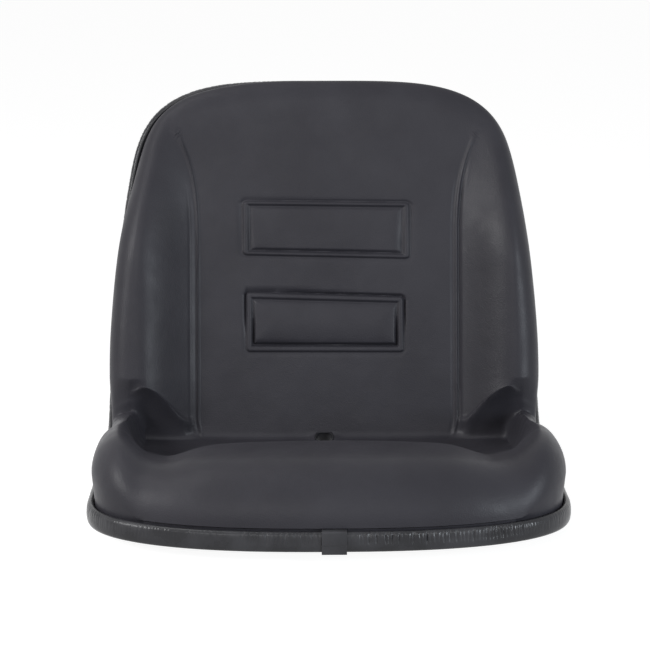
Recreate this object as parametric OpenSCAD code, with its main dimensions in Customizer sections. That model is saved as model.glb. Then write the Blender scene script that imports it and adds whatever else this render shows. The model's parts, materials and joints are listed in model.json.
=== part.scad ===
// One-piece pan seat for a small tractor: a moulded cushion bonded into a pressed steel pan.
// The pan and the cushion are drawn flat, as x across the seat and s along its middle line,
// and are bent up together at the crease between the seat and the backrest.
// +X is to the right seen from the front, +Y is back and +Z is up.
// The origin is the middle of the bolt pattern, on the pan's underside.

/* [Pan] */
// Half of the pan's width at its rim
pan_half_w = 234; // [215:1:250]
// Distance from the bolt pattern's middle forward to the rim
pan_front = 250; // [235:1:265]
// Distance from the bolt pattern's middle back to the start of the bend
bend_start = 95; // [90:1:110]
// Inside radius of the bend between the seat and the backrest
bend_r = 95; // [93:1:105]
// Lean of the backrest from upright, in degrees
back_lean = 12; // [8:1:18]
// Height of the backrest along its slope, from the bend's end to the rim
back_rise = 324; // [310:1:345]
// Width that the rim loses on each side towards the top
top_taper = 45; // [30:1:55]
// Width that the rim gains on each side towards the front
front_flare = 3; // [1:0.5:6]
// Thickness of the pan's steel sheet
sheet = 2; // [1.5:0.1:3]
// Height of the rim's middle over the floor, round the seat
rim_height = 20; // [18:1:26]
// Height of the rim's middle over the sheet, round the backrest
back_rim_height = 12; // [11:0.5:16]
// Width of the sloping border between the lip and the floor
dish_w = 85; // [70:1:95]
// Depth of the pressed step between the border and the floor
step_h = 3; // [2:0.5:4]
// Width of the pressed step
step_w = 9; // [7:0.5:14]

/* [Cushion] */
// Height of the seat's crest over the pan's floor
crest_height = 91; // [86:1:97]
// Distance from the rim's front back to the crest
crest_s = 75; // [68:1:84]
// Share of the seat's slope over which the crest is rounded
crest_round = 0.2; // [0.1:0.05:0.4]
// Distance of the crease past the start of the bend
crease_at = 41; // [38:1:46]
// Thickness of the cushion where its two faces would meet without a fillet
crease_height = 8; // [6:0.5:12]
// Blend between the seat's face and the backrest's
crease_fillet = 16; // [12:1:22]
// Rise of the crease in the pockets at the hips
crease_lift = 6; // [3:0.5:9]
// Fall of the seat's face from its middle to the thigh channels
crown = 6; // [3:0.5:9]
// Thickness of the backrest at its lower end
back_height = 38; // [36:1:44]
// Thickness of the backrest near the top
top_height = 37; // [35:1:42]
// Drop of the seat's face from the crest to the front edge
nose_drop = 12; // [8:1:18]
// Height of the seat's side bolsters over the face, at the hips
seat_bolster = 36; // [28:1:40]
// Height of the seat's side bolsters over the face, at the front
front_bolster = 13; // [8:1:18]
// Distance of the seat bolsters' inner foot from the middle line, at the hips
hip_foot = 198; // [192:1:203]
// Distance of their inner foot from the middle line, at the front
front_foot = 176; // [168:1:184]
// Width of the bolsters' inner slope at the hips
hip_slope = 17; // [13:1:20]
// Length over which the pockets at the hips end under the backrest's bolsters
pocket_len = 44; // [36:1:52]
// Height of the backrest's side bolsters over the face
back_bolster = 42; // [34:1:46]
// Distance below the top rim at which the backrest's bolsters start to fade
bolster_fade_from = 200; // [180:1:220]
// Distance below the top rim at which they end
bolster_fade_to = 30; // [20:1:50]
// Depth of the channels for the thighs
thigh_channel = 9; // [5:1:12]
// Distance of the thigh channels from the middle line
channel_x = 160; // [150:1:168]
// Width of the thigh channels
channel_w = 56; // [48:1:70]
// Distance over which the thigh channels fade out at the crease
channel_fade = 50; // [40:1:60]
// Distance of the backrest bolsters' crests from the middle line
bolster_x = 206; // [200:1:210]
// Radius of the cushion's edge at the front
front_roll = 50; // [44:1:54]
// Radius of the cushion's edge at the seat's sides
seat_roll = 28; // [25:1:32]
// Radius of the cushion's edge round the backrest
back_roll = 27; // [24:1:30]
// Distance that the cushion's side bulges past the rim on the backrest
back_bulge = 3.5; // [2:0.5:5]
// Height of the cushion's edge over the trim
trim_clear = 2.5; // [2.5:0.1:4]
// Distance of the cushion's side inside the rim's middle, round the seat
seat_inset = 1.2; // [0.5:0.1:2.5]

/* [Seams and pads] */
// Distance of the side seams from their middle
seam_x = 143; // [138:1:147]
// Shift of the seams' middle to the right
seam_shift = 3; // [0:0.5:5]
// Distance that the seams run outwards at the top
seam_flare = 32; // [20:1:36]
// Distance below the top rim at which the seams start to run outwards
seam_flare_from = 190; // [175:1:205]
// Length over which they run outwards
seam_flare_len = 145; // [130:1:160]
// Distance that the seams lie further in at the crease
seam_draw = 14; // [8:1:18]
// Width of the seam's raised welt
welt_w = 5; // [3.5:0.5:6]
// Height of the seam's raised welt
welt_h = 1.3; // [0.8:0.1:2]
// Width of the lower pad
pad_w = 176; // [160:1:182]
// Height of the lower pad
low_pad_h = 66; // [56:1:70]
// Distance of the lower pad's middle from the top rim
low_pad_s = 265; // [260:1:270]
// Height of the upper pad
high_pad_h = 63; // [54:1:68]
// Distance of the upper pad's middle from the top rim
high_pad_s = 162; // [157:1:167]
// Width that the upper pad has more than the lower one
high_pad_extra = 12; // [0:1:14]
// Shift of the upper pad to the right
high_pad_shift = 3; // [0:0.5:4]
// Width of the raised bead round each pad
bead_w = 5.6; // [4.5:0.1:7]
// Height of the bead
bead_h = 1.8; // [1:0.1:2.4]
// Depth of the grooves on both sides of the bead
groove_d = 1.4; // [0.8:0.1:2]
// Height of the pad's crown
pad_crown = 1.8; // [0.5:0.1:3]

/* [Edge trim] */
// Height of the trim's outer leg
trim_h = 20; // [17:0.5:22]
// Thickness of the trim's legs
trim_wall = 2.2; // [1.8:0.1:2.6]
// Clearance between the trim and the sheet, on each side
trim_fit = 0.2; // [0.1:0.05:0.4]
// Gap between the trim's two ends
trim_gap = 1; // [0.6:0.1:2]
// Width of the clip over the trim's ends
joiner_w = 24; // [18:1:30]
// Shift of the clip to the right of the middle
joiner_shift = 3; // [0:0.5:5]
// Thickness of the clip
joiner_wall = 1.2; // [0.8:0.1:1.6]

/* [Fixing] */
// Distance between the bolt holes across the seat
bolt_x = 200; // [160:1:220]
// Distance between the bolt holes along the seat
bolt_y = 150; // [120:1:160]
// Radius of the bolt holes
bolt_r = 4.25; // [4.1:0.05:4.5]
// Width across flats of the weld nuts
nut_flats = 14; // [13:0.5:17]
// Height of the weld nuts
nut_h = 6.5; // [5:0.5:8]
// Radius of the weld nuts' bore
nut_bore_r = 4; // [3.9:0.05:4.1]
// Radius of the drain's bore
drain_r = 9; // [7:0.5:10]
// Wall of the drain eyelet
drain_wall = 1.5; // [1.2:0.1:2]
// Width of the drain eyelet's flange
drain_flange = 3.5; // [2.5:0.5:5]
// Distance of the drain past the start of the bend
drain_s = 43; // [41:1:47]

/* [Hidden] */
$fn = 48;

// Clearance between pieces that lie on each other
fit = 0.4;
// The flat layout of the seat along its middle line
bend_angle = 90 - back_lean;
bend_s = pan_front + bend_start;
back_s = bend_s + bend_r * bend_angle * PI / 180;
top_s = back_s + back_rise;
crease_s = bend_s + crease_at;
// The seat's bolsters start to rise here, and are full at the hips
bolster_start = 30;
hip_s = bend_s - 30;
// The crease starts to rise towards the pockets here, off the middle line
lift_from = 60;
// The edge's radius changes from the front's to the sides' between these places
front_roll_to = 50;
seat_roll_from = 200;
roll_change = 30;
// The rim's outline is a squircle at the front, straight at the sides and a squircle at the top
front_power = 2.5;
top_power = 3.9;
front_len = 120;
top_len = 118;
side_lo = front_len;
side_hi = top_s - top_len;
taper_from = 430;

function clamp01(t) = min(1, max(0, t));
function smooth(a, b, x) = let(t = clamp01((x - a) / (b - a))) t * t * (3 - 2 * t);
function bump(x) = exp(-x * x);
function mix(a, b, t) = a + (b - a) * t;
// The larger value, with a fillet where the two are less than w apart
function soft_max(a, b, w) = let(h = max(w - abs(a - b), 0)) max(a, b) + h * h / (4 * w);

// From the flat layout to the bent seat: x across, s along the middle line, n off the pan's inner face
function turn(s) = min(bend_angle, max(0, (s - bend_s) / bend_r * 180 / PI));
function at(x, s, n) =
    let(a = turn(s), up = max(s - back_s, 0))
    [x,
     min(s, bend_s) - pan_front + (bend_r - n) * sin(a) + up * cos(bend_angle),
     sheet + bend_r - (bend_r - n) * cos(a) + up * sin(bend_angle)];

// Narrowing of the seat towards the top, and its widening towards the front
function taper(x, s) =
    let(t = max(0, (s - taper_from) / (top_s - taper_from)), out = front_flare * (1 - smooth(0, bend_s, s)))
    x * (1 + (out - top_taper * t * t) / pan_half_w);

// A place on the outline, d inside the rim: u is -1 to 1 across, v runs along the middle line
// in the straight part and is -1 to 0 in front of it and 0 to 1 over it
function ring_x(u, v, d) =
    let(p = v < 0 ? front_power : top_power)
    (pan_half_w - d) * u / pow(pow(abs(u), p) + pow(abs(v), p), 1 / p);
function ring_s(u, v, s, d) =
    let(p = v < 0 ? front_power : top_power, r = pow(pow(abs(u), p) + pow(abs(v), p), 1 / p))
    v == 0 ? s
    : v < 0 ? side_lo + (front_len - d) * v / r
    : side_hi + (top_len - d) * v / r;

// Height of the rim's middle over the sheet
function rim_n(s) = mix(rim_height, back_rim_height, smooth(bend_s - 60, back_s + 20, s));
// Height of the pan's border, d inside the rim, over the floor
function dish_n(s, d) =
    let(edge = max(rim_n(s) - trim_h / 2, step_h))
    d < dish_w ? mix(edge, step_h, clamp01(d / dish_w)) : step_h * (1 - smooth(dish_w, dish_w + step_w, d));

// Side seams of the backrest
function seam_at(s) =
    seam_x + seam_flare * pow(clamp01((s - (top_s - seam_flare_from)) / seam_flare_len), 1.7)
    - seam_draw * (1 - smooth(crease_s - 26, crease_s + 24, s));
seam_end = top_s - 42;

// The cushion's face over the pan: the seat's slope, and the backrest's, which runs straight on into
// the crease
function fall(t) =
    (t < crest_round ? t * t / (2 * crest_round) : t - crest_round / 2) / (1 - crest_round / 2);
function seat_n(s) =
    s < crest_s ? crest_height - nose_drop * pow((crest_s - s) / crest_s, 2)
    : mix(crest_height, crease_height, fall(clamp01((s - crest_s) / (crease_s - crest_s))));
function back_n(s) =
    let(n = mix(back_height, top_height, clamp01((s - back_s) / (top_s - back_s))))
    bend_r - (bend_r - n) / cos(bend_angle - turn(s));
function face_n(s) = soft_max(seat_n(s), back_n(s), crease_fillet);

// The bolsters of the seat and of the backrest, which meet over the pockets at the hips
function low_bolster_n(ax, s) =
    let(foot = mix(front_foot, hip_foot, smooth(crest_s, hip_s, s)),
        rise = mix(front_bolster, seat_bolster, clamp01((s - bolster_start) / (hip_s - bolster_start))),
        in_crease = smooth(hip_s - 30, crease_s, s))
    rise * smooth(foot, hip_foot + hip_slope, ax)
    - crown * (1 - in_crease) * pow(clamp01(ax / channel_x), 2)
    + crease_lift * in_crease * smooth(lift_from, channel_x, ax);
function high_bolster_n(ax, s) =
    let(t = clamp01((ax - seam_at(s)) / (bolster_x + 2 - seam_at(s))),
        fade = 1 - 0.8 * smooth(top_s - bolster_fade_from, top_s - bolster_fade_to, s))
    back_bolster * fade * mix(sin(90 * t), t * t * (3 - 2 * t), 0.5);
function bolster_n(x, s) =
    let(ax = abs(x - seam_shift * smooth(bend_s, back_s, s)),
        outer = smooth(hip_foot, hip_foot + hip_slope, ax),
        from = mix(crease_s, bend_s - 15, outer),
        to = mix(crease_s + pocket_len, back_s - 15, outer))
    mix(low_bolster_n(ax, s), high_bolster_n(ax, s), smooth(from, to, s));
function channel_n(x, s) =
    thigh_channel * bump((abs(x) - channel_x) / (channel_w / 2)) * smooth(-20, crest_s + 40, s)
    * (1 - smooth(bend_s - channel_fade, bend_s + channel_fade, s));
function welt_n(x, s) =
    let(t = (abs(x - seam_shift) - seam_at(s)) / (welt_w / 2),
        on = smooth(crease_s, crease_s + 30, s) * (1 - smooth(seam_end - 15, seam_end, s)))
    abs(t) < 1 ? welt_h * (1 - t * t) * on : 0;

// The two embossed pads: the distance inside a pad's edge and the height that goes with it
function pad_in(x, s, w, h, x0, s0) = min(w / 2 - abs(x - x0), h / 2 - abs(s - s0));
function pad_n(d) =
    d < -1.5 ? 0
    : d < 0 ? -groove_d * 0.6 * (d + 1.5) / 1.5
    : d < bead_w / 2 ? mix(-groove_d * 0.6, bead_h, sin(90 * d / (bead_w / 2)))
    : d < bead_w ? mix(bead_h, -groove_d, 1 - cos(90 * (d - bead_w / 2) / (bead_w / 2)))
    : d < bead_w + 2.4 ? mix(-groove_d, 0.6, (d - bead_w) / 2.4)
    : 0.6 + pad_crown * (1 - pow(1 - clamp01((d - bead_w - 2.4) / 22), 2));
function pads_n(x, s) =
    pad_n(pad_in(x, s, pad_w, low_pad_h, 0, top_s - low_pad_s))
    + pad_n(pad_in(x, s, pad_w + high_pad_extra, high_pad_h, high_pad_shift, top_s - high_pad_s));

function top_n(x, s) = face_n(s) + bolster_n(x, s) - channel_n(x, s) + welt_n(x, s) + pads_n(x, s);

// Lines of the cushion's face: across it they follow the seams and the pads' edges
edge_lines = [-1.5, 0, bead_w / 2, bead_w, bead_w + 2.4];
pad_cols = [22, 44, 64];
half_cols = concat(
    pad_cols,
    [for (i = [len(edge_lines) - 1 : -1 : 0]) pad_w / 2 - edge_lines[i]],
    [106, 124],
    [for (k = [-1, 0, 1]) seam_x + k * welt_w / 2],
    [156, 170, 184]);
cols = concat([for (i = [len(half_cols) - 1 : -1 : 0]) -half_cols[i]], [0], half_cols);
function pad_rows(s0, h) = concat(
    [for (e = edge_lines) s0 - h / 2 + e],
    [s0 - h / 6, s0 + h / 6],
    [for (i = [len(edge_lines) - 1 : -1 : 0]) s0 + h / 2 - edge_lines[i]]);
crease_lines = [-38, -22, -10, -2, 6, 14, 23, 34, 48, 64];
rows = concat(
    [58, 66, 78, 94, 114, 140, 168, 198, 230, 262, 294, 322],
    [for (d = crease_lines) crease_s + d],
    [back_s, back_s + 14],
    pad_rows(top_s - low_pad_s, low_pad_h),
    [top_s - (low_pad_s + high_pad_s - (low_pad_h - high_pad_h) / 2) / 2],
    pad_rows(top_s - high_pad_s, high_pad_h),
    [for (k = [1 : 5]) mix(top_s - high_pad_s + high_pad_h / 2, top_s - back_roll, k / 5.6)]);
ncol = len(cols);
nrow = len(rows);

// The face's border is drawn d_in inside the rim, and the grid is squeezed into it
function d_wall(s) = mix(seat_inset, -back_bulge, smooth(bend_s + 20, back_s + 50, s));
function roll_r(s) =
    let(seat = mix(front_roll, seat_roll, smooth(front_roll_to, seat_roll_from, s)))
    mix(seat, back_roll, smooth(bend_s - roll_change, back_s + roll_change, s));
function d_in(s) = roll_r(s) + d_wall(s);
u_max = cols[ncol - 1];
function grid_u(j) = cols[j] / u_max;
front_row = rows[0];
top_row = rows[nrow - 1];
function grid_v(i) =
    rows[i] < side_lo ? (rows[i] - side_lo) / (side_lo - front_row)
    : rows[i] > side_hi ? (rows[i] - side_hi) / (top_row - side_hi)
    : 0;

// The seams and pads pull the lines nearest to them sideways
function pull(x, s) =
    let(ax = abs(x), side = x < 0 ? -1 : 1,
        up = smooth(top_s - (low_pad_s + high_pad_s) / 2 - 12, top_s - (low_pad_s + high_pad_s) / 2 + 12, s),
        on_pad = (1 - smooth(pad_w / 2 + 2, seam_x - 6, ax)),
        in_seam = smooth(pad_w / 2 + 2, seam_x - welt_w / 2, ax),
        on_seam = in_seam * (1 - smooth(seam_x + welt_w / 2, u_max, ax)),
        back = smooth(crease_s - 40, crease_s - 5, s))
    x + on_pad * up * (high_pad_shift + side * high_pad_extra / 2 * smooth(pad_cols[0], pad_cols[2], ax))
      + on_seam * back * (seam_shift + side * (seam_at(s) - seam_x));

// One point of the grid, as [x, s] in the flat layout
function grid_xs(i, j) =
    let(u = grid_u(j), v = grid_v(i), p = v < 0 ? front_power : top_power,
        m = max(abs(u), abs(v)),
        r = m == 0 ? 1 : pow(pow(abs(u), p) + pow(abs(v), p), 1 / p),
        k = v == 0 ? 1 : mix(1, m / r, pow(m, 3)),
        s_mid = v < 0 ? side_lo : side_hi,
        s = v == 0 ? rows[i] : s_mid + (rows[i] - s_mid) * k,
        w = pan_half_w - d_in(s))
    [taper(pull(cols[j] * k, s) + (w - u_max) * u * pow(abs(u), 3) * (v == 0 ? 1 : k), s), s];
function grid_point(i, j) = let(q = grid_xs(i, j)) at(q[0], q[1], top_n(q[0], q[1]));

// The places round the face's edge, as [row, column], counterclockwise seen from the face
border = concat(
    [for (j = [0 : ncol - 2]) [0, j]],
    [for (i = [0 : nrow - 2]) [i, ncol - 1]],
    [for (j = [ncol - 1 : -1 : 1]) [nrow - 1, j]],
    [for (i = [nrow - 1 : -1 : 1]) [i, 0]]);
nb = len(border);

// A ring of the cushion's rolled edge, at an angle from its side wall
roll_angles = [72, 54, 38, 24, 11, 0];
function edge_xs(b, d) =
    let(i = border[b][0], j = border[b][1], u = grid_u(j), v = grid_v(i),
        s = ring_s(u, v, rows[i], d))
    [taper(ring_x(u, v == 0 ? 0 : v, d), s), s];
function roll_point(b, a) =
    let(q0 = edge_xs(b, 20), r = roll_r(q0[1]), d = d_wall(q0[1]) + r * (1 - cos(a)), q = edge_xs(b, d),
        n = top_n(q[0], q[1]), foot = rim_n(q[1]) + trim_h / 2 + trim_clear)
    at(q[0], q[1], n - min(r, n - foot) * (1 - sin(a)));
// The wall goes down inside the trim and stands on the pan
function wall_point(b, d, n) = let(q = edge_xs(b, d)) at(q[0], q[1], n + rim_n(q[1]));
function under_point(b, d) = let(q = edge_xs(b, d)) at(q[0], q[1], dish_n(q[1], d) + fit);
lip_in = sheet / 2 + trim_fit + trim_wall + fit;
under_d = [lip_in + joiner_wall + 1.4, 30, dish_w, dish_w + step_w];

// The middle line of the underside, which the last ring closes on
mid_lo = 5;
mid_hi = nrow - 7;
function mid_row(i) = min(mid_hi, max(mid_lo, i));

module skin_and_foam() {
    grid = [for (i = [0 : nrow - 1], j = [0 : ncol - 1]) grid_point(i, j)];
    rolls = [for (a = roll_angles, b = [0 : nb - 1]) roll_point(b, a)];
    walls = [for (n = [trim_h / 2 + 1, 0], b = [0 : nb - 1]) wall_point(b, lip_in, n)];
    unders = [for (d = under_d, b = [0 : nb - 1]) under_point(b, d)];
    spine = [for (i = [mid_lo : mid_hi]) at(0, rows[i], fit)];
    ng = nrow * ncol;
    nring = len(roll_angles) + 2 + len(under_d);
    ns = ng + nring * nb;
    // Ring 0 is the grid's own border
    function ring(k, b) = let(c = b % nb) k == 0 ? border[c][0] * ncol + border[c][1] : ng + (k - 1) * nb + c;
    function mid(b) = ns + mid_row(border[b % nb][0]) - mid_lo;
    function quad(a, b, c, d) = [[a, b, c], [a, c, d]];
    face = [for (i = [0 : nrow - 2], j = [0 : ncol - 2])
        let(a = i * ncol + j, flip = (i < nrow / 2) != (j < ncol / 2))
        each flip ? [[a, a + ncol, a + 1], [a + 1, a + ncol, a + ncol + 1]]
                  : [[a, a + ncol, a + ncol + 1], [a, a + ncol + 1, a + 1]]];
    sides = [for (k = [0 : nring - 1], b = [0 : nb - 1])
        each quad(ring(k, b), ring(k, b + 1), ring(k + 1, b + 1), ring(k + 1, b))];
    floor = [for (b = [0 : nb - 1])
        each mid(b) == mid(b + 1)
            ? [[ring(nring, b), ring(nring, b + 1), mid(b)]]
            : quad(ring(nring, b), ring(nring, b + 1), mid(b + 1), mid(b))];
    polyhedron(concat(grid, rolls, walls, unders, spine), concat(face, sides, floor), convexity = 6);
}

// Places something at a point of the pan, with its own +Z off the sheet
module on_pan(x, s) {
    translate(at(x, s, 0)) rotate([turn(s), 0, 0]) children();
}
drain_at = bend_s + drain_s;
drain_top = top_n(0, drain_at);

module bolt_places() {
    for (x = [-1, 1], y = [-1, 1]) translate([x * bolt_x / 2, y * bolt_y / 2, 0]) children();
}

// Moulded skin and foam, with pockets over the nuts and a hole for the drain
module cushion() {
    color("#3b3a40") difference() {
        skin_and_foam();
        bolt_places() translate([0, 0, sheet - 1])
            cylinder(r = nut_flats / 2 / cos(30) + fit, h = nut_h + 1 + fit);
        on_front(joiner_w + 2 * fit) offset(delta = joiner_wall + fit) joiner_space();
        on_pan(0, drain_at) translate([0, 0, -5])
            cylinder(r = drain_r + drain_wall + fit, h = drain_top + 20);
        on_pan(0, drain_at) translate([0, 0, drain_top - 1.6])
            cylinder(r = drain_r + drain_wall + drain_flange + fit, h = 20);
    }
}

// The rim's stations, evenly turned round the corners, starting at the front's middle
corner_steps = 12;
side_steps = 24;
function corner_uv(k, n) = let(a = 90 * k / n) [sin(a), -cos(a)];
half_rim = concat(
    [for (k = [0 : corner_steps - 1]) let(q = corner_uv(k, corner_steps)) [q[0], q[1], 0]],
    [for (k = [0 : side_steps - 1]) [1, 0, mix(side_lo, side_hi, k / side_steps)]],
    [for (k = [0 : corner_steps])
        let(q = corner_uv(corner_steps - k, corner_steps)) [q[0], k == 0 ? 0 : -q[1], side_hi]]);
nhalf = len(half_rim);
rim = concat(half_rim, [for (k = [nhalf - 2 : -1 : 1]) [-half_rim[k][0], half_rim[k][1], half_rim[k][2]]]);
nrim = len(rim);
function rim_xs(k, d) =
    let(q = rim[(k + nrim) % nrim], s = ring_s(q[0], q[1], q[2], d)) [taper(ring_x(q[0], q[1], d), s), s];
// Outward direction of the rim at a station
function rim_out(k) =
    let(a = rim_xs(k - 1, 0), b = rim_xs(k + 1, 0), t = (b - a) / norm(b - a)) [t[1], -t[0]];

// The pan's sheet: a standing lip, a sloping border, a pressed step and a flat floor
lip_top = trim_h / 2 - trim_wall - 0.8;
lip_r = 3;
function pan_ring(side) = [
    // [distance inside the rim, height over the rim's middle or the border, true on the lip]
    [-side * sheet / 2, lip_top, true],
    [-side * sheet / 2, 2 - trim_h / 2 + lip_r + (side > 0 ? -sheet : 0), true],
    [lip_r / 2 - side * sheet / 3, 2 - trim_h / 2 + (side > 0 ? -sheet : 0) + lip_r / 3, true],
    [lip_r + 6, side > 0 ? -sheet : 0, false],
    [30, side > 0 ? -sheet : 0, false],
    [58, side > 0 ? -sheet : 0, false],
    [dish_w, side > 0 ? -sheet : 0, false],
    [dish_w + step_w / 2, side > 0 ? -sheet : 0, false],
    [dish_w + step_w, side > 0 ? -sheet : 0, false]];
function pan_point(k, r) =
    let(q = rim_xs(k, r[0]), n = r[2] ? rim_n(q[1]) + r[1] : dish_n(q[1], r[0]) + r[1])
    at(q[0], q[1], n);
// The pan's middle line, which both faces of the floor close on
pan_mid = [for (k = [0 : side_steps]) mix(side_lo, side_hi, k / side_steps)];

module pressed_sheet() {
    inner = [for (r = pan_ring(-1), k = [0 : nrim - 1]) pan_point(k, r)];
    outer = [for (r = pan_ring(1), k = [0 : nrim - 1]) pan_point(k, r)];
    nr = len(pan_ring(1));
    mids = concat([for (s = pan_mid) at(0, s, 0)], [for (s = pan_mid) at(0, s, -sheet)]);
    nm = len(pan_mid);
    n2 = nr * nrim;
    function p(side, r, k) = side * n2 + r * nrim + k % nrim;
    // Number of the middle-line point that a station closes on
    function m(side, k) =
        let(c = k % nrim, h = c < nhalf ? c : nrim - c)
        2 * n2 + side * nm + min(nm - 1, max(0, h - corner_steps));
    function turn(f, side) = side == 0 ? f : [f[0], f[2], f[1]];
    skins = [for (side = [0, 1], r = [0 : nr - 2], k = [0 : nrim - 1])
        let(a = p(side, r, k), b = p(side, r, k + 1), c = p(side, r + 1, k + 1), d = p(side, r + 1, k))
        each [turn([a, c, b], side), turn([a, d, c], side)]];
    floors = [for (side = [0, 1], k = [0 : nrim - 1])
        let(a = p(side, nr - 1, k), b = p(side, nr - 1, k + 1), c = m(side, k + 1), d = m(side, k))
        each c == d ? [turn([a, d, b], side)] : [turn([a, c, b], side), turn([a, d, c], side)]];
    lip = [for (k = [0 : nrim - 1])
        let(a = p(0, 0, k), b = p(0, 0, k + 1), c = p(1, 0, k + 1), d = p(1, 0, k))
        each [[a, b, c], [a, c, d]]];
    polyhedron(concat(inner, outer, mids), concat(skins, floors, lip), convexity = 6);
}

module seat_pan() {
    color("#222326") difference() {
        pressed_sheet();
        bolt_places() translate([0, 0, -1]) cylinder(r = bolt_r, h = sheet + 2);
        on_pan(0, drain_at) translate([0, 0, -sheet - 2])
            cylinder(r = drain_r + drain_wall + fit, h = sheet + 4);
    }
}

// The trim's U section, as [outwards, up]: the inner leg is short and the outer one has a rolled lip
leg = sheet / 2 + trim_fit;
half_trim = trim_h / 2;
trim_section = [
    [leg, -half_trim + 0.6], [leg + trim_wall * 0.6, -half_trim], [leg + trim_wall * 1.3, -half_trim + 2.5],
    [leg + trim_wall * 1.55, -half_trim + 7], [leg + trim_wall * 1.45, 3], [leg + trim_wall, half_trim - 2.6],
    [leg, half_trim - 0.3], [-leg, half_trim - 0.3],
    [-leg - trim_wall, half_trim - 2.4], [-leg - trim_wall, -1],
    [-leg, -1.4], [-leg, lip_top + trim_fit], [leg, lip_top + trim_fit]];

module edge_trim() {
    n = len(trim_section);
    // Stations on both sides of the gap at the front's middle
    function station(k, c) =
        let(q = rim_xs(k, 0), o = rim_out(k), x = q[0] + o[0] * c[0], s = q[1] + o[1] * c[0])
        at(x, s, rim_n(q[1]) + c[1]);
    function cut(side, c) = let(q = station(0, c)) [side * trim_gap / 2, q[1], q[2]];
    points = concat(
        [for (c = trim_section) cut(1, c)],
        [for (k = [1 : nrim - 1], c = trim_section) station(k, c)],
        [for (c = trim_section) cut(-1, c)]);
    walls = [for (k = [0 : nrim - 1], i = [0 : n - 1])
        let(a = k * n + i, b = k * n + (i + 1) % n)
        each [[a, b, b + n], [a, b + n, a + n]]];
    // Each end is capped in three convex pieces: the outer leg, the roof and the inner leg
    outer_leg = [0, 1, 2, 3, 4, 5, 12];
    roof = [5, 6, 7, 8, 11, 12];
    inner_leg = [8, 9, 10, 11];
    first = [for (f = [outer_leg, roof, inner_leg]) [for (i = [len(f) - 1 : -1 : 0]) f[i]]];
    last = [for (f = [outer_leg, roof, inner_leg]) [for (i = f) nrim * n + i]];
    color("#26272a") polyhedron(points, concat(walls, first, last), convexity = 6);
}

// Folded clip over the trim's two ends
joiner_out = leg + trim_wall * 1.55 + fit;
joiner_in = -leg - trim_wall - fit;
module joiner_section() {
    difference() {
        offset(r = joiner_wall, $fn = 16) joiner_space();
        joiner_space();
        translate([joiner_in - 10, -half_trim - 10])
            square([joiner_out - joiner_in + 10 - trim_wall * 1.8, half_trim + 7]);
    }
}
module joiner_space() {
    translate([joiner_in, -half_trim - fit]) square([joiner_out - joiner_in, trim_h + 2 * fit]);
}
// Stands a section, drawn outwards and up, on the rim's middle at the front
module on_front(w) {
    translate([joiner_shift - w / 2, -pan_front, sheet + rim_height])
        rotate([90, 0, 90]) linear_extrude(w) mirror([1, 0]) children();
}
module trim_joiner() {
    color("#2b2c30") on_front(joiner_w) joiner_section();
}

// Drain eyelet: a tube from the pan to the face, with a flange that holds the skin down
module drain_eyelet() {
    r = drain_r + drain_wall;
    color("#33343a") on_pan(0, drain_at) rotate_extrude()
        polygon([
            [drain_r, -sheet - 1.5], [r, -sheet - 1.5], [r, drain_top - 1.2],
            [r + drain_flange, drain_top - 1.2], [r + drain_flange, drain_top - 0.6],
            [r + drain_flange * 0.5, drain_top + 0.6], [drain_r + 0.6, drain_top + 0.4],
            [drain_r, drain_top - 0.4]]);
}

module weld_nuts() {
    color("silver") bolt_places() translate([0, 0, sheet]) difference() {
        cylinder(r = nut_flats / 2 / cos(30), h = nut_h, $fn = 6);
        translate([0, 0, -1]) cylinder(r = nut_bore_r, h = nut_h + 2);
    }
}

seat_pan();
cushion();
edge_trim();
trim_joiner();
drain_eyelet();
weld_nuts();
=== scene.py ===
"""Looks of a one-piece pan seat for a small tractor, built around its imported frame.

Sizes are in millimetres, as in the part's source, and become metres when a mesh gets its place.
The seat is drawn flat, as x across and s along its middle line, with n off the pan's inner face,
and is bent up at the crease between the seat and the backrest.
"""

import bisect
import json
import logging
import math
import random
from collections.abc import Callable
from dataclasses import dataclass, field
from enum import Enum
from typing import ClassVar

import bmesh
import bpy
from mathutils import Matrix, Vector

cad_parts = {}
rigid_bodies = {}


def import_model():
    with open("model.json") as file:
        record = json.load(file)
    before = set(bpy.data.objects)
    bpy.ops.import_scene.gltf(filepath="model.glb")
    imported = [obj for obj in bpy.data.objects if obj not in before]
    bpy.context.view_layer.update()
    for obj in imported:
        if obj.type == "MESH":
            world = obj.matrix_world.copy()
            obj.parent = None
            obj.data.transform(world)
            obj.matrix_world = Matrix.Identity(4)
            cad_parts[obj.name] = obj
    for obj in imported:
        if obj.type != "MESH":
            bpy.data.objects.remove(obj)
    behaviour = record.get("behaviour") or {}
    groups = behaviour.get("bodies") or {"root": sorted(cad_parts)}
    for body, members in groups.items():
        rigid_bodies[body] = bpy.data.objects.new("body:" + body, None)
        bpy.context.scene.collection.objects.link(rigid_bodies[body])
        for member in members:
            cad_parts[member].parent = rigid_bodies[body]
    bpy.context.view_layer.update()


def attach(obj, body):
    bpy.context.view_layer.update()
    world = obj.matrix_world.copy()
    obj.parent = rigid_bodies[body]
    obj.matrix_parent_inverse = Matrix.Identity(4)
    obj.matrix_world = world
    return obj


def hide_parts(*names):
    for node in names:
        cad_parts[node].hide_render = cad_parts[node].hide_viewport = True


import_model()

MM = 0.001
# Edges shorter than this, in metres, are dissolved after a cut
SHORTEST = 2e-6
# Edges with a sharper turn than this, in degrees, stay sharp
SHARP = 50.0
BODY = "root"
LOG = logging.getLogger("seat")

Pair = tuple[float, float]
Colour = tuple[float, float, float]


def clamp01(t: float) -> float:
    """Returns t held between 0 and 1."""
    return min(1.0, max(0.0, t))


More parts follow.
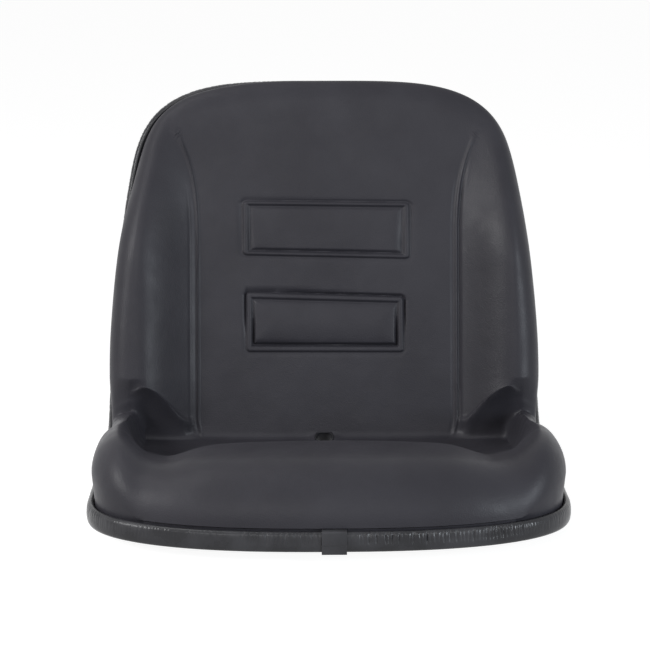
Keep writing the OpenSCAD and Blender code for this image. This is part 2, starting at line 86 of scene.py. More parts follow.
def smooth(a: float, b: float, x: float) -> float:
    """Returns a soft step of x, 0 at a and 1 at b."""
    t = clamp01((x - a) / (b - a))
    return t * t * (3 - 2 * t)


def plateau(a: float, b: float, c: float, d: float, x: float) -> float:
    """Returns a soft step of x up from a to b and down again from c to d."""
    return smooth(a, b, x) * (1 - smooth(c, d, x))


def mix(a: float, b: float, t: float) -> float:
    """Returns the value between a and b at share t."""
    return a + (b - a) * t


def bump(t: float) -> float:
    """Returns a bell of height 1 and half width 1 at t."""
    return math.exp(-t * t)


def soft_max(a: float, b: float, blend: float) -> float:
    """Returns the larger value, with a fillet where the two are less than blend apart."""
    near = max(blend - abs(a - b), 0.0)
    return max(a, b) + near * near / (4 * blend)


def graded(marks: list[float], step: float) -> list[float]:
    """Fills the spaces between lines so that none is wider than a step.

    Args:
        marks: places that a line has to pass, in rising order.
        step: widest space between two lines.

    Returns:
        The places of all the lines.
    """
    lines = [marks[0]]
    for low, high in zip(marks, marks[1:]):
        count = max(1, math.ceil((high - low) / step - 1e-6))
        lines += [mix(low, high, k / count) for k in range(1, count + 1)]
    return lines


class Ring(Enum):
    """Where a ring of the cushion or the pan lies."""

    FACE = "face"
    ROLL = "roll"
    WALL = "wall"
    UNDER = "under"
    SPINE = "spine"


@dataclass
class Layout:
    """The pan's flat layout, its outline and its bend."""

    half_w: float = 234.0
    front: float = 250.0
    bend_start: float = 95.0
    bend_r: float = 95.0
    lean: float = 12.0
    rise: float = 324.0
    taper: float = 45.0
    taper_from: float = 430.0
    taper_power: float = 2.0
    flare: float = 3.0
    sheet: float = 2.0
    rim_height: float = 20.0
    back_rim_height: float = 12.0
    rim_over: Pair = (60.0, 20.0)
    front_len: float = 120.0
    top_len: float = 118.0
    front_power: float = 2.5
    top_power: float = 3.9
    dish_w: float = 85.0
    step_h: float = 3.0
    step_w: float = 9.0
    trim_h: float = 20.0
    bend_angle: float = field(init=False)
    bend_s: float = field(init=False)
    back_s: float = field(init=False)
    top_s: float = field(init=False)
    side_lo: float = field(init=False)
    side_hi: float = field(init=False)

    def __post_init__(self) -> None:
        """Works out the places that follow from the sizes."""
        self.bend_angle = math.radians(90 - self.lean)
        self.bend_s = self.front + self.bend_start
        self.back_s = self.bend_s + self.bend_r * self.bend_angle
        self.top_s = self.back_s + self.rise
        self.side_lo = self.front_len
        self.side_hi = self.top_s - self.top_len

    def turn(self, s: float) -> float:
        """Returns the sheet's slope at s, in radians."""
        return min(self.bend_angle, max(0.0, (s - self.bend_s) / self.bend_r))

    def at(self, x: float, s: float, n: float) -> Vector:
        """Bends a place of the flat layout up.

        Args:
            x: distance across the seat.
            s: distance along its middle line from the front rim.
            n: distance off the pan's inner face.

        Returns:
            The place on the seat, in metres.
        """
        a = self.turn(s)
        up = max(s - self.back_s, 0.0)
        radius = self.bend_r - n
        y = min(s, self.bend_s) - self.front + radius * math.sin(a) + up * math.cos(self.bend_angle)
        z = self.sheet + self.bend_r - radius * math.cos(a) + up * math.sin(self.bend_angle)
        return Vector((x, y, z)) * MM

    def over_bend(self, before: float, after: float, s: float) -> float:
        """Returns a soft step of s, from a distance before the bend to one after it."""
        return smooth(self.bend_s - before, self.back_s + after, s)

    def tapered(self, x: float, s: float) -> float:
        """Returns x drawn in towards the top and let out towards the front."""
        t = max(0.0, (s - self.taper_from) / (self.top_s - self.taper_from))
        out = self.flare * (1 - smooth(0, self.bend_s, s))
        return x * (1 + (out - self.taper * t ** self.taper_power) / self.half_w)

    def edge(self, u: float, v: float, s: float, d: float) -> Pair:
        """Finds a place on the outline, or on a line inside it.

        Args:
            u: place across, from -1 to 1.
            v: -1 to 0 in the front's round, 0 at the straight sides, 0 to 1 in the top's round.
            s: place along the straight sides.
            d: distance inside the rim.

        Returns:
            Its x and s.
        """
        power = self.front_power if v < 0 else self.top_power
        r = (abs(u) ** power + abs(v) ** power) ** (1 / power)
        x = (self.half_w - d) * u / r
        if v < 0:
            s = self.side_lo + (self.front_len - d) * v / r
        elif v > 0:
            s = self.side_hi + (self.top_len - d) * v / r
        return self.tapered(x, s), s

    def rim_n(self, s: float) -> float:
        """Returns the height of the rim's middle over the sheet."""
        return mix(self.rim_height, self.back_rim_height, self.over_bend(*self.rim_over, s))

    def dish_n(self, s: float, d: float) -> float:
        """Returns the height of the pan's sloping border, d inside the rim."""
        edge = max(self.rim_n(s) - self.trim_h / 2, self.step_h)
        if d < self.dish_w:
            return mix(edge, self.step_h, clamp01(d / self.dish_w))
        return self.step_h * (1 - smooth(self.dish_w, self.dish_w + self.step_w, d))

    def on_pan(self, s: float) -> Matrix:
        """Returns the frame, in metres, of a place of the pan's middle line, with its Z off the sheet."""
        return Matrix.Translation(self.at(0, s, 0)) @ Matrix.Rotation(self.turn(s), 4, "X")

    def rim(self, front_step: float, side_step: float) -> list[tuple[float, float, float]]:
        """Goes once round the outline in near even steps, from the front's middle towards +X.

        Args:
            front_step: length of a step in the front's round.
            side_step: length of a step elsewhere.

        Returns:
            The u, v and s of each station, as edge takes them.
        """
        fine = 1200
        turns = [math.pi / 2 * k / fine for k in range(fine)]
        path = [(math.sin(a), -math.cos(a), self.side_lo) for a in turns]
        path += [(1.0, 0.0, mix(self.side_lo, self.side_hi, k / fine)) for k in range(fine)]
        path += [(math.cos(a), math.sin(a), self.side_hi) for a in turns] + [(0.0, 1.0, self.side_hi)]
        half = [path[0]]
        gone = 0.0
        for a, b in zip(path, path[1:]):
            gone += math.dist(self.edge(*a, 0), self.edge(*b, 0))
            step = front_step if b[1] < 0 else side_step
            if gone >= step:
                half.append(b)
                gone -= step
        half[-1] = path[-1]
        return half + [(-u, v, s) for u, v, s in reversed(half[1:-1])]

    def grid_v(self, row: float, first: float, last: float) -> float:
        """Returns the outline's v that goes with a row of a grid from first to last."""
        if row < self.side_lo:
            return (row - self.side_lo) / (self.side_lo - first)
        if row > self.side_hi:
            return (row - self.side_hi) / (last - self.side_hi)
        return 0.0


@dataclass(frozen=True)
class Pad:
    """An embossed pad on the backrest, with a bead round it. Its s is measured from the top rim."""

    width: float
    height: float
    x: float
    s: float
    top_tilt: float
    foot_tilt: float
    crown: float
    top_groove: float
    foot_groove: float
    bead_w: float
    side_scale: float = 1.0
    bead_h: float = 1.5
    bead_up: Pair = (0.6, 2.6)
    bead_down: Pair = (-1.6, 0.6)
    corner: float = 5.0
    groove_w: float = 1.6
    groove_at: Pair = (0.2, 1.6)
    least_groove: Pair = (0.8, 0.9)
    face_h: float = 0.5
    face_up: Pair = (-0.6, 3.2)
    crown_w: float = 24.0
    halves: float = 0.6
    reach: Pair = (8.0, 11.0)

    def inside(self, x: float, s: float) -> Pair:
        """Measures how far a place lies inside the pad's rounded edge.

        Args:
            x: place across the seat.
            s: place along it, from the top rim.

        Returns:
            The distance inside, and the place along the pad's height from -1 to 1.
        """
        dx = x - self.x
        ds = s - self.s
        along = clamp01((ds / self.height) + 0.5)
        ds += dx / self.width * mix(self.foot_tilt, self.top_tilt, along)
        qx = (abs(dx) - self.width / 2) * self.side_scale + self.corner
        qs = abs(ds) - self.height / 2 + self.corner
        if qx > 0 and qs > 0:
            return self.corner - math.hypot(qx, qs), 2 * along - 1
        return self.corner - max(qx, qs), 2 * along - 1

    def n(self, x: float, s: float) -> float:
        """Returns the height that the pad adds to the backrest."""
        far_x = abs(x - self.x) - self.width / 2
        far_s = abs(s - self.s) - self.height / 2
        if far_x > self.reach[0] or far_s > self.reach[1]:
            return 0.0
        d, along = self.inside(x, s)
        up = smooth(-self.halves, self.halves, along)
        outer, inner = self.groove_at[0], self.bead_w + self.groove_at[1]
        rise = self.face_h * smooth(inner + self.face_up[0], inner + self.face_up[1], d)
        crown = self.crown * (1 - (1 - clamp01((d - inner) / self.crown_w)) ** 2)
        end_low, end_high = (self.bead_w + far for far in self.bead_down)
        bead = self.bead_h * smooth(*self.bead_up, d) * (1 - smooth(end_low, end_high, d))
        outer_cut = mix(self.least_groove[0], self.top_groove, up) * bump((d - outer) / self.groove_w)
        inner_cut = mix(self.foot_groove, self.least_groove[1], up) * bump((d - inner) / self.groove_w)
        return bead + rise + crown - outer_cut - inner_cut


@dataclass
class Cushion:
    """The moulded vinyl cushion, seat and backrest in one piece."""

    layout: Layout
    crest_height: float = 91.0
    crest_s: float = 75.0
    crest_round: float = 0.2
    crease_at: float = 41.0
    crease_height: float = 8.0
    crease_fillet: float = 1.2
    crease_lift: float = 1.5
    lift_from: float = 60.0
    crown: float = 6.0
    back_height: float = 38.0
    top_height: float = 37.0
    nose_drop: float = 12.0
    seat_bolster: float = 36.0
    front_bolster: float = 13.0
    bolster_start: float = 30.0
    hip_before: float = 30.0
    hip_soft: float = 30.0
    hip_foot: float = 198.0
    front_foot: float = 176.0
    hip_slope: float = 15.0
    hip_shift: float = 4.0
    back_bolster: float = 42.0
    bolster_fade: float = 0.8
    bolster_fade_from: float = 200.0
    bolster_fade_to: float = 30.0
    bolster_x: float = 208.0
    meet_inner: Pair = (-4.0, 5.0)
    meet_outer: Pair = (-15.0, -34.0)
    thigh_channel: float = 9.0
    channel_x: float = 160.0
    channel_w: float = 56.0
    channel_start: float = -20.0
    channel_past: float = 40.0
    channel_fade: float = 50.0
    ridge_at: float = 15.5
    ridge_slope: float = 0.56
    ridge_bend: float = 196.0
    ridge_h: float = 3.0
    ridge_rise: float = 7.5
    ridge_drop: float = 16.0
    ridge_w: Pair = (4.0, 5.0)
    ridge_hollow: float = 0.5
    ridge_inner: Pair = (-2.0, 9.0)
    ridge_outer: Pair = (204.0, 214.0)
    fold_h: float = 1.2
    fold_side: Pair = (207.0, 217.0)
    side_folds: ClassVar[tuple[tuple[float, float, float], ...]] = (
        (401.0, 4.0, 1.0), (392.0, 4.5, -1.0), (383.0, 4.0, 0.7), (374.0, 5.0, -0.6))
    front_roll: float = 50.0
    seat_roll: float = 28.0
    back_roll: float = 27.0
    front_roll_to: float = 50.0
    seat_roll_from: float = 200.0
    roll_over: Pair = (30.0, 30.0)
    roll_in: float = 20.0
    back_bulge: float = 3.5
    bulge_over: Pair = (-20.0, 50.0)
    seat_inset: float = 1.2
    tuck: float = 7.5
    tuck_at: float = 80.0
    tuck_len: float = 62.0
    tuck_side: Pair = (-0.2, -0.7)
    trim_clear: float = 2.5
    lip_in: float = 3.8
    gap: float = 0.4
    seam_x: float = 143.0
    seam_shift: float = 3.0
    seam_flare: float = 28.3
    seam_bow: float = 3.2
    seam_flare_from: float = 190.0
    seam_flare_len: float = 145.0
    seam_draw: float = 14.0
    draw_fade: Pair = (-26.0, 24.0)
    seam_start: Pair = (-2.0, 22.0)
    seam_end: Pair = (-54.0, -43.0)
    seam_reach: float = 16.0
    welt_w: float = 3.4
    welt_h: float = 2.2
    welt_at: Pair = (-0.8, 0.6)
    groove_out: Pair = (7.5, 4.0)
    groove_in: float = 3.8
    groove_w: float = 1.8
    groove_d: Pair = (0.8, 1.6)
    groove_fade: Pair = (0.25, 0.6)
    groove_longer: float = 0.2
    drain_at: float = 43.0
    drain_top: float = 9.65
    drain_lip: float = 1.0
    drain_round: float = 13.0
    drain_funnel: float = 20.0
    first_row: float = 58.0
    last_row: float = 27.0
    fine: float = 0.8
    hip_fine: float = 2.2
    outer_fine: float = 1.9
    outer_from: float = 161.0
    widest_col: float = 3.6
    widest_row: float = 4.0
    pad_lines: Pair = (13.0, 3.0)
    seam_lines: Pair = (6.4, 9.6)
    low_pad: Pad = Pad(
        width=176, height=65.6, x=1.2, s=-265.5, top_tilt=6.0, foot_tilt=0.7,
        crown=2.8, top_groove=3.1, foot_groove=3.5, bead_w=7.4)
    high_pad: Pad = Pad(
        width=188, height=63.1, x=2.8, s=-161.7, top_tilt=2.5, foot_tilt=4.7,
        crown=0.7, top_groove=1.3, foot_groove=1.9, bead_w=5.6, side_scale=0.68)
    crease_s: float = field(init=False)
    hip_s: float = field(init=False)
    drain_s: float = field(init=False)
    rings: list[tuple[Ring, float]] = field(init=False)
    cols: list[float] = field(init=False)
    rows: list[float] = field(init=False)
    warp: dict[Pair, list[Pair]] = field(init=False, default_factory=dict)

    def __post_init__(self) -> None:
        """Lays out the lines of the face and the rings of the edge."""
        seat = self.layout
        self.crease_s = seat.bend_s + self.crease_at
        self.hip_s = seat.bend_s - self.hip_before
        self.drain_s = seat.bend_s + self.drain_at
        edges = [-2.0 + self.fine * k for k in range(19)]
        half = [0.0] + [self.low_pad.width / 2 - e for e in reversed(edges)]
        half += [self.seam_x + self.fine * k for k in range(-8, 13)]
        half = graded(half + [self.outer_from + self.outer_fine * k for k in range(13)], self.widest_col)
        self.cols = [-x for x in reversed(half[1:])] + half
        marks = [self.first_row, self.hip_s - 30]
        marks += [self.hip_s - 28 + self.hip_fine * k for k in range(70)]
        for pad in (self.low_pad, self.high_pad):
            marks += [seat.top_s + pad.s - pad.height / 2 + e for e in edges]
            marks += [seat.top_s + pad.s + pad.height / 2 - e for e in reversed(edges)]
        marks += [seat.top_s - self.last_row]
        self.rows = graded(marks, self.widest_row)
        self.rings = [(Ring.FACE, 90.0)] + [(Ring.ROLL, float(a)) for a in range(85, -1, -5)]
        self.rings += [(Ring.WALL, n) for n in (11.0, 5.0, 0.0)]
        self.rings += [(Ring.UNDER, d) for d in (6.4, 15.0, 30.0, 58.0, 85.0, 89.5, 94.0)]
        self.rings += [(Ring.SPINE, 0.0)]

    def past_crease(self, start: float, end: float, s: float) -> float:
        """Returns a soft step of s between two distances past the crease."""
        return smooth(self.crease_s + start, self.crease_s + end, s)

    def flared(self, s: float) -> float:
        """Returns how far up the seams' flare s is, from 0 to 1."""
        return clamp01((s - (self.layout.top_s - self.seam_flare_from)) / self.seam_flare_len)

    def seam_at(self, s: float) -> float:
        """Returns the distance of the seams from their middle line at s."""
        draw = self.seam_draw * (1 - self.past_crease(*self.draw_fade, s))
        return self.seam_x + self.seam_flare * self.flared(s) ** self.seam_bow - draw

    def body_n(self, s: float) -> float:
        """Returns the thickness of the foam along the middle line."""
        seat = self.layout
        if s < self.crest_s:
            low = self.crest_height - self.nose_drop * ((self.crest_s - s) / self.crest_s) ** 2
        else:
            t = clamp01((s - self.crest_s) / (self.crease_s - self.crest_s))
            k = self.crest_round
            eased = t * t / (2 * k) if t < k else t - k / 2
            low = mix(self.crest_height, self.crease_height, eased / (1 - k / 2))
        up = clamp01((s - seat.back_s) / (seat.top_s - seat.back_s))
        high = mix(self.back_height, self.top_height, up)
        high = seat.bend_r - (seat.bend_r - high) / math.cos(seat.bend_angle - seat.turn(s))
        return soft_max(low, high, self.crease_fillet)

    def low_bolster_n(self, ax: float, s: float, right: bool) -> float:
        """Returns what the seat's bolsters add, with its crown and the lift of the crease's ends."""
        back = smooth(self.crest_s, self.hip_s, s)
        foot = mix(self.front_foot, self.hip_foot + self.hip_shift * right, back)
        share = clamp01((s - self.bolster_start) / (self.hip_s - self.bolster_start))
        rise = mix(self.front_bolster, self.seat_bolster, share)
        in_crease = smooth(self.hip_s - self.hip_soft, self.crease_s, s)
        return (rise * smooth(foot, self.hip_foot + self.hip_slope + self.hip_shift * right, ax)
                - self.crown * (1 - in_crease) * clamp01(ax / self.channel_x) ** 2
                + self.crease_lift * in_crease * smooth(self.lift_from, self.channel_x, ax))

    def high_bolster_n(self, ax: float, s: float) -> float:
        """Returns what the backrest's bolsters add."""
        top_s = self.layout.top_s
        seam = self.seam_at(s)
        t = clamp01((ax - seam) / (self.bolster_x - seam))
        up = smooth(top_s - self.bolster_fade_from, top_s - self.bolster_fade_to, s)
        fade = 1 - self.bolster_fade * up
        return self.back_bolster * fade * (math.sin(t * math.pi / 2) + t * t * (3 - 2 * t)) / 2

    def ridge_s(self, ax: float) -> float:
        """Returns the place of the fold under the backrest's bolsters, at the top of the hip's pocket."""
        inner = min(max(ax, self.seam_x), self.ridge_bend)
        sag = self.ridge_rise - self.ridge_drop * smooth(self.seam_x, self.channel_x, inner)
        return self.crease_s + self.ridge_at + self.ridge_slope * (inner - self.channel_x) + sag

    def bolster_n(self, x: float, s: float) -> float:
        """Returns the height of the side bolsters, which meet over the pockets at the hips."""
        seat = self.layout
        ax = abs(x - self.seam_shift * seat.over_bend(0, 0, s))
        outer = smooth(self.hip_foot, self.hip_foot + self.hip_slope, ax)
        ridge = self.ridge_s(ax)
        start = mix(self.crease_s + self.meet_inner[0], seat.bend_s + self.meet_outer[0], outer)
        end = mix(ridge + self.meet_inner[1], seat.back_s + self.meet_outer[1], outer)
        stretch = mix(1 / math.cos(seat.bend_angle - seat.turn(s)), 1, outer)
        high = self.high_bolster_n(ax, s) * stretch
        n = mix(self.low_bolster_n(ax, s, x > 0), high, smooth(start, end, s))
        inner_from, inner_to = (self.seam_x + far for far in self.ridge_inner)
        on_ridge = plateau(inner_from, inner_to, *self.ridge_outer, ax)
        up_w, low_w = self.ridge_w
        hollow = self.ridge_hollow * bump((s - ridge + low_w) / low_w)
        n += on_ridge * self.ridge_h * (bump((s - ridge - up_w) / up_w) - hollow)
        folds = sum(height * bump((s - at) / wide) for at, wide, height in self.side_folds)
        return n + smooth(*self.fold_side, ax) * self.fold_h * folds

    def channel_n(self, x: float, s: float) -> float:
        """Returns the depth of the channels for the thighs."""
        bend, fade = self.layout.bend_s, self.channel_fade
        full = self.crest_s + self.channel_past
        on = plateau(self.channel_start, full, bend - fade, bend + fade, s)
        return self.thigh_channel * bump((abs(x) - self.channel_x) / (self.channel_w / 2)) * on

    def seam_n(self, x: float, s: float) -> float:
        """Returns the height of the seam's welt and the grooves beside it."""
        right = x > 0
        t = abs(x - self.seam_shift) - self.seam_at(s)
        if abs(t) > self.seam_reach:
            return 0.0
        end_from, end_to = (self.layout.top_s + far for far in self.seam_end)
        on = self.past_crease(*self.seam_start, s) * (1 - smooth(end_from, end_to, s))
        fade_from, fade_to = (share + self.groove_longer * right for share in self.groove_fade)
        fade = 1 - smooth(fade_from, fade_to, self.flared(s))
        welt = self.welt_h * bump((t - self.welt_at[right]) / (self.welt_w / 2))
        outer = fade * self.groove_d[right] * bump((t - self.groove_out[right]) / self.groove_w)
        inner = fade * self.groove_d[0] * right * bump((t + self.groove_in) / self.groove_w)
        return on * (welt - outer - inner)

    def top_n(self, x: float, s: float) -> float:
        """Returns the height of the cushion's face over the pan."""
        n = self.body_n(s) + self.bolster_n(x, s) - self.channel_n(x, s) + self.seam_n(x, s)
        for pad in (self.low_pad, self.high_pad):
            n += pad.n(x, s - self.layout.top_s)
        far = math.hypot(x, s - self.drain_s)
        return mix(max(self.drain_top, n), n, smooth(self.drain_round, self.drain_funnel, far))

    def wall_in(self, s: float, u: float) -> float:
        """Returns the distance of the cushion's side inside the rim, with its tuck at the upper left."""
        seat = self.layout
        tuck = self.tuck * bump((s - seat.top_s + self.tuck_at) / self.tuck_len) * smooth(*self.tuck_side, u)
        return mix(self.seat_inset, -self.back_bulge, seat.over_bend(*self.bulge_over, s)) + tuck

    def roll_r(self, s: float) -> float:
        """Returns the radius of the rolled edge."""
        low = mix(self.front_roll, self.seat_roll, smooth(self.front_roll_to, self.seat_roll_from, s))
        return mix(low, self.back_roll, self.layout.over_bend(*self.roll_over, s))

    def natural(self, col: float, row: float) -> Pair:
        """Returns the flat x and s of a place of a plain grid that is squeezed into the round outline."""
        seat = self.layout
        u = col / self.cols[-1]
        v = seat.grid_v(row, self.rows[0], self.rows[-1])
        k = 1.0
        s = row
        if v != 0:
            power = seat.front_power if v < 0 else seat.top_power
            m = max(abs(u), abs(v))
            r = (abs(u) ** power + abs(v) ** power) ** (1 / power)
            k = mix(1, m / r, m ** 3)
            middle = seat.side_lo if v < 0 else seat.side_hi
            s = middle + (row - middle) * k
        w = seat.half_w - self.roll_r(s) - self.wall_in(s, u)
        return seat.tapered((col + (w - self.cols[-1]) * u * abs(u) ** 3) * k, s), s

    def line_at(self, row: float, side: int, far: Callable[[float], float]) -> float:
        """Finds the column line that lies at a distance from the middle.

        Args:
            row: the row line.
            side: -1 for the left side or 1 for the right one.
            far: gives the distance at s.

        Returns:
            The line's place, without its sign.
        """
        low, high = 0.0, self.cols[-1]
        for _ in range(20):
            middle = (low + high) / 2
            x, s = self.natural(side * middle, row)
            low, high = (middle, high) if abs(x) < far(s) else (low, middle)
        return low

    def anchors(self, row: float, side: int) -> list[Pair]:
        """Returns where the column lines at the pads' edges and the seams go in a row."""
        pads = (self.low_pad, self.high_pad)
        between = self.layout.top_s + (pads[0].s + pads[0].height / 2 + pads[1].s - pads[1].height / 2) / 2
        up = smooth(between - 12, between + 12, row)
        half = mix(pads[0].width / 2 + side * pads[0].x, pads[1].width / 2 + side * pads[1].x, up)
        on_back = self.past_crease(-40, -5, row)
        edge, last = pads[0].width / 2, self.cols[-1]
        pad = mix(edge, self.line_at(row, side, lambda s: half), on_back)
        seam = self.line_at(row, side, lambda s: self.seam_at(s) + side * self.seam_shift)
        seam = mix(self.seam_x, min(seam, last - 6), on_back)
        pad_in, pad_out = self.pad_lines
        seam_in, seam_out = self.seam_lines
        return [
            (0, 0), (edge - pad_in, pad - pad_in), (edge + pad_out, pad + pad_out),
            (self.seam_x - seam_in, seam - seam_in),
            (self.seam_x + seam_out, min(seam + seam_out, last - 3)), (last, last)]

    def face_place(self, col: float, row: float) -> Pair:
        """Returns the flat x and s of a place of the face's grid, which follows the pads and the seams."""
        side = -1 if col < 0 else 1
        if (row, side) not in self.warp:
            self.warp[row, side] = self.anchors(row, side)
        for (a, a_to), (b, b_to) in zip(self.warp[row, side], self.warp[row, side][1:]):
            if abs(col) <= b:
                return self.natural(side * mix(a_to, b_to, (abs(col) - a) / (b - a)), row)
        return self.natural(col, row)

    def spot(self, col: float, row: float, ring: int) -> Vector:
        """Finds the place of one of the mesh's points.

        Args:
            col: the point's column line.
            row: the point's row line.
            ring: its number in rings, where 0 is the face.

        Returns:
            The place on the seat, in metres.
        """
        seat = self.layout
        kind, size = self.rings[ring]
        if kind is Ring.FACE:
            x, s = self.face_place(col, row)
            return seat.at(x, s, self.top_n(x, s))
        if kind is Ring.SPINE:
            return seat.at(0, min(seat.side_hi, max(seat.side_lo, row)), self.gap)
        u = col / self.cols[-1]
        v = seat.grid_v(row, self.rows[0], self.rows[-1])
        if kind is Ring.ROLL:
            a = math.radians(size)
            s0 = seat.edge(u, v, row, self.roll_in)[1]
            r = self.roll_r(s0)
            x, s = seat.edge(u, v, row, self.wall_in(s0, u) + r * (1 - math.cos(a)))
            n = self.top_n(x, s)
            foot = seat.rim_n(s) + seat.trim_h / 2 + self.trim_clear
            return seat.at(x, s, n - min(r, n - foot) * (1 - math.sin(a)))
        if kind is Ring.WALL:
            x, s = seat.edge(u, v, row, self.lip_in)
            return seat.at(x, s, size + seat.rim_n(s))
        x, s = seat.edge(u, v, row, size)
        return seat.at(x, s, seat.dish_n(s, size) + self.gap)

    def build(self) -> bpy.types.Object:
        """Returns the cushion as a closed mesh, with room for the pieces that reach into it."""
        bm = bmesh.new()
        across, along = len(self.cols) - 1, len(self.rows) - 1
        bmesh.ops.create_grid(bm, x_segments=across, y_segments=along, size=1.0)
        place = bm.verts.layers.float_vector.new("place")
        for vert in bm.verts:
            j = round((vert.co.x + 1) / 2 * across)
            i = round((vert.co.y + 1) / 2 * along)
            vert[place] = (self.cols[j], self.rows[i], 0)
        border = [e for e in bm.edges if e.is_boundary]
        for ring in range(1, len(self.rings)):
            made = bmesh.ops.extrude_edge_only(bm, edges=border)["geom"]
            for vert in made:
                if isinstance(vert, bmesh.types.BMVert):
                    vert[place].z = ring
            border = [e for e in made if isinstance(e, bmesh.types.BMEdge) and e.is_boundary]
        for vert in bm.verts:
            col, row, ring = vert[place]
            vert.co = self.spot(col, row, round(ring))
        closed(bm)
        piece = finished("seat_cushion", bm)
        carve(piece, self.cutters())
        return piece

    def cutters(self) -> bmesh.types.BMesh:
        """Returns the shapes that the drain, the weld nuts and the trim's joiner take out of the foam."""
        seat = self.layout
        hole, flange = Drain.outer_r + self.gap, Drain.flange_r + self.gap
        low, high = self.drain_top - Drain.skin - 2, self.drain_top - Drain.skin
        top = self.drain_top + self.drain_lip
        profile = [
            (0, -5), (hole, -5), (hole, low), (flange, low),
            (flange, high), (hole, high), (hole, top), (0, top)]
        bm = turned(profile, seat.on_pan(self.drain_s))
        nut_r = Fixing.nut_flats / math.sqrt(3) + self.gap
        nut_deep = Fixing.nut_h + 1 + self.gap
        Fixing.add_rods(bm, nut_r, nut_deep, seat.sheet - 1 + nut_deep / 2, 32)
        clip = Joiner(seat)
        wide, deep, high = clip.width + 2 * self.gap, 12.0, seat.trim_h + 2 * (clip.clear + clip.wall)
        back = -seat.front + clip.inner + clip.wall + self.gap
        middle = Vector((clip.shift, back - deep / 2, seat.sheet + seat.rim_height)) * MM
        size = Matrix.Diagonal(Vector((wide, deep, high + 2 * self.gap)) * MM).to_4x4()
        bmesh.ops.create_cube(bm, size=1.0, matrix=Matrix.Translation(middle) @ size)
        return bm


@dataclass
class Trim:
    """The gathered plastic trim that is pressed on the pan's lip."""

    layout: Layout
    wall: float = 2.2
    leg: float = 1.2
    inner_foot: float = -1.0
    lip_top: float = 7.0
    gap: float = 1.0
    rounding: float = 0.7
    front_step: float = 0.7
    side_step: float = 2.0
    fold_gap: Pair = (2.6, 4.6)
    fold_w: Pair = (0.7, 1.3)
    fold_d: Pair = (0.4, 1.2)
    fold_lean: float = 0.16
    fold_depth: float = 1.3
    fold_reach: float = 6.0
    fold_band: tuple[float, float, float, float] = (-5.0, 1.0, 8.6, 9.8)
    side_strength: float = 0.35
    front_strength: float = 0.22
    left_strength: float = 0.45
    left_run: tuple[float, float, float, float] = (-90.0, -72.0, -12.0, -4.0)
    right_strength: float = 0.78
    right_run: tuple[float, float, float, float] = (20.0, 30.0, 165.0, 200.0)
    seed: int = 11

    def section(self) -> list[Pair]:
        """Returns the U section, outwards from the lip's middle and up, with a rolled outer foot."""
        half = self.layout.trim_h / 2
        leg, wall = self.leg, self.wall
        foot = self.inner_foot
        inside = self.lip_top + 0.2
        return rounded([
            (leg, 0.6 - half), (leg + wall * 0.6, -half), (leg + wall * 1.3, 2.5 - half),
            (leg + wall * 1.55, 7 - half), (leg + wall * 1.5, 0.0), (leg + wall * 1.45, 3.0),
            (leg + wall * 1.25, 5.4), (leg + wall, half - 2.6), (leg, half - 0.3), (-leg, half - 0.3),
            (-leg - wall, half - 2.4), (-leg - wall, foot), (-leg, foot - 0.4),
            (-leg, inside), (leg, inside),
        ], self.rounding, 1)

    def strength(self, x: float, v: float) -> float:
        """Returns how strong the gathers are at a place of the rim."""
        if v >= 0:
            return self.side_strength
        left = self.left_strength * plateau(*self.left_run, x)
        right = self.right_strength * plateau(*self.right_run, x)
        return self.front_strength + left + right

    def folds(self, length: float) -> list[tuple[float, float, float, float]]:
        """Returns each fold's place along the trim, width, depth and lean."""
        draw = random.Random(self.seed)
        folds = []
        t = draw.uniform(*self.fold_gap)
        while t < length:
            wide, deep = draw.uniform(*self.fold_w), draw.uniform(*self.fold_d)
            folds.append((t, wide, deep, draw.uniform(-self.fold_lean, self.fold_lean)))
            t += draw.uniform(*self.fold_gap)
        return folds

    def build(self) -> bpy.types.Object:
        """Returns the trim, open between its two ends at the front's middle."""
        seat = self.layout
        stations = seat.rim(self.front_step, self.side_step)
        line = [seat.edge(*q, 0) for q in stations]
        count = len(line)
        outward = []
        for k in range(count):
            (x0, s0), (x1, s1) = line[k - 1], line[(k + 1) % count]
            far = math.dist((x0, s0), (x1, s1))
            outward.append(((s1 - s0) / far, (x0 - x1) / far))
        lengths = [0.0]
        for a, b in zip(line, line[1:] + line[:1]):
            lengths.append(lengths[-1] + math.dist(a, b))
        folds = self.folds(lengths[-1])
        starts = [f[0] for f in folds]
        section = self.section()

        def sunk(t: float, h: float) -> float:
            """Returns the depth of the folds at t along the trim and h up it."""
            low, high = (bisect.bisect(starts, t + far) for far in (-self.fold_reach, self.fold_reach))
            return sum(d * bump((t - at - lean * h) / w) for at, w, d, lean in folds[low:high])

        def place(i: int, j: int) -> Vector:
            """Returns the place of the section's point j at station i."""
            k = i % count
            (x, s), (ox, os) = line[k], outward[k]
            c, h = section[j % len(section)]
            if c > self.leg + 0.5:
                band = plateau(*self.fold_band, h)
                c -= self.fold_depth * self.strength(x, stations[k][1]) * band * sunk(lengths[i], h)
            if k == 0:
                x = self.gap / 2 if i == 0 else -self.gap / 2
            return seat.at(x + ox * c, s + os * c, seat.rim_n(s) + h)

        bm = woven(count + 1, len(section) + 1, place)
        return finished("rim_trim", bm, 60.0)


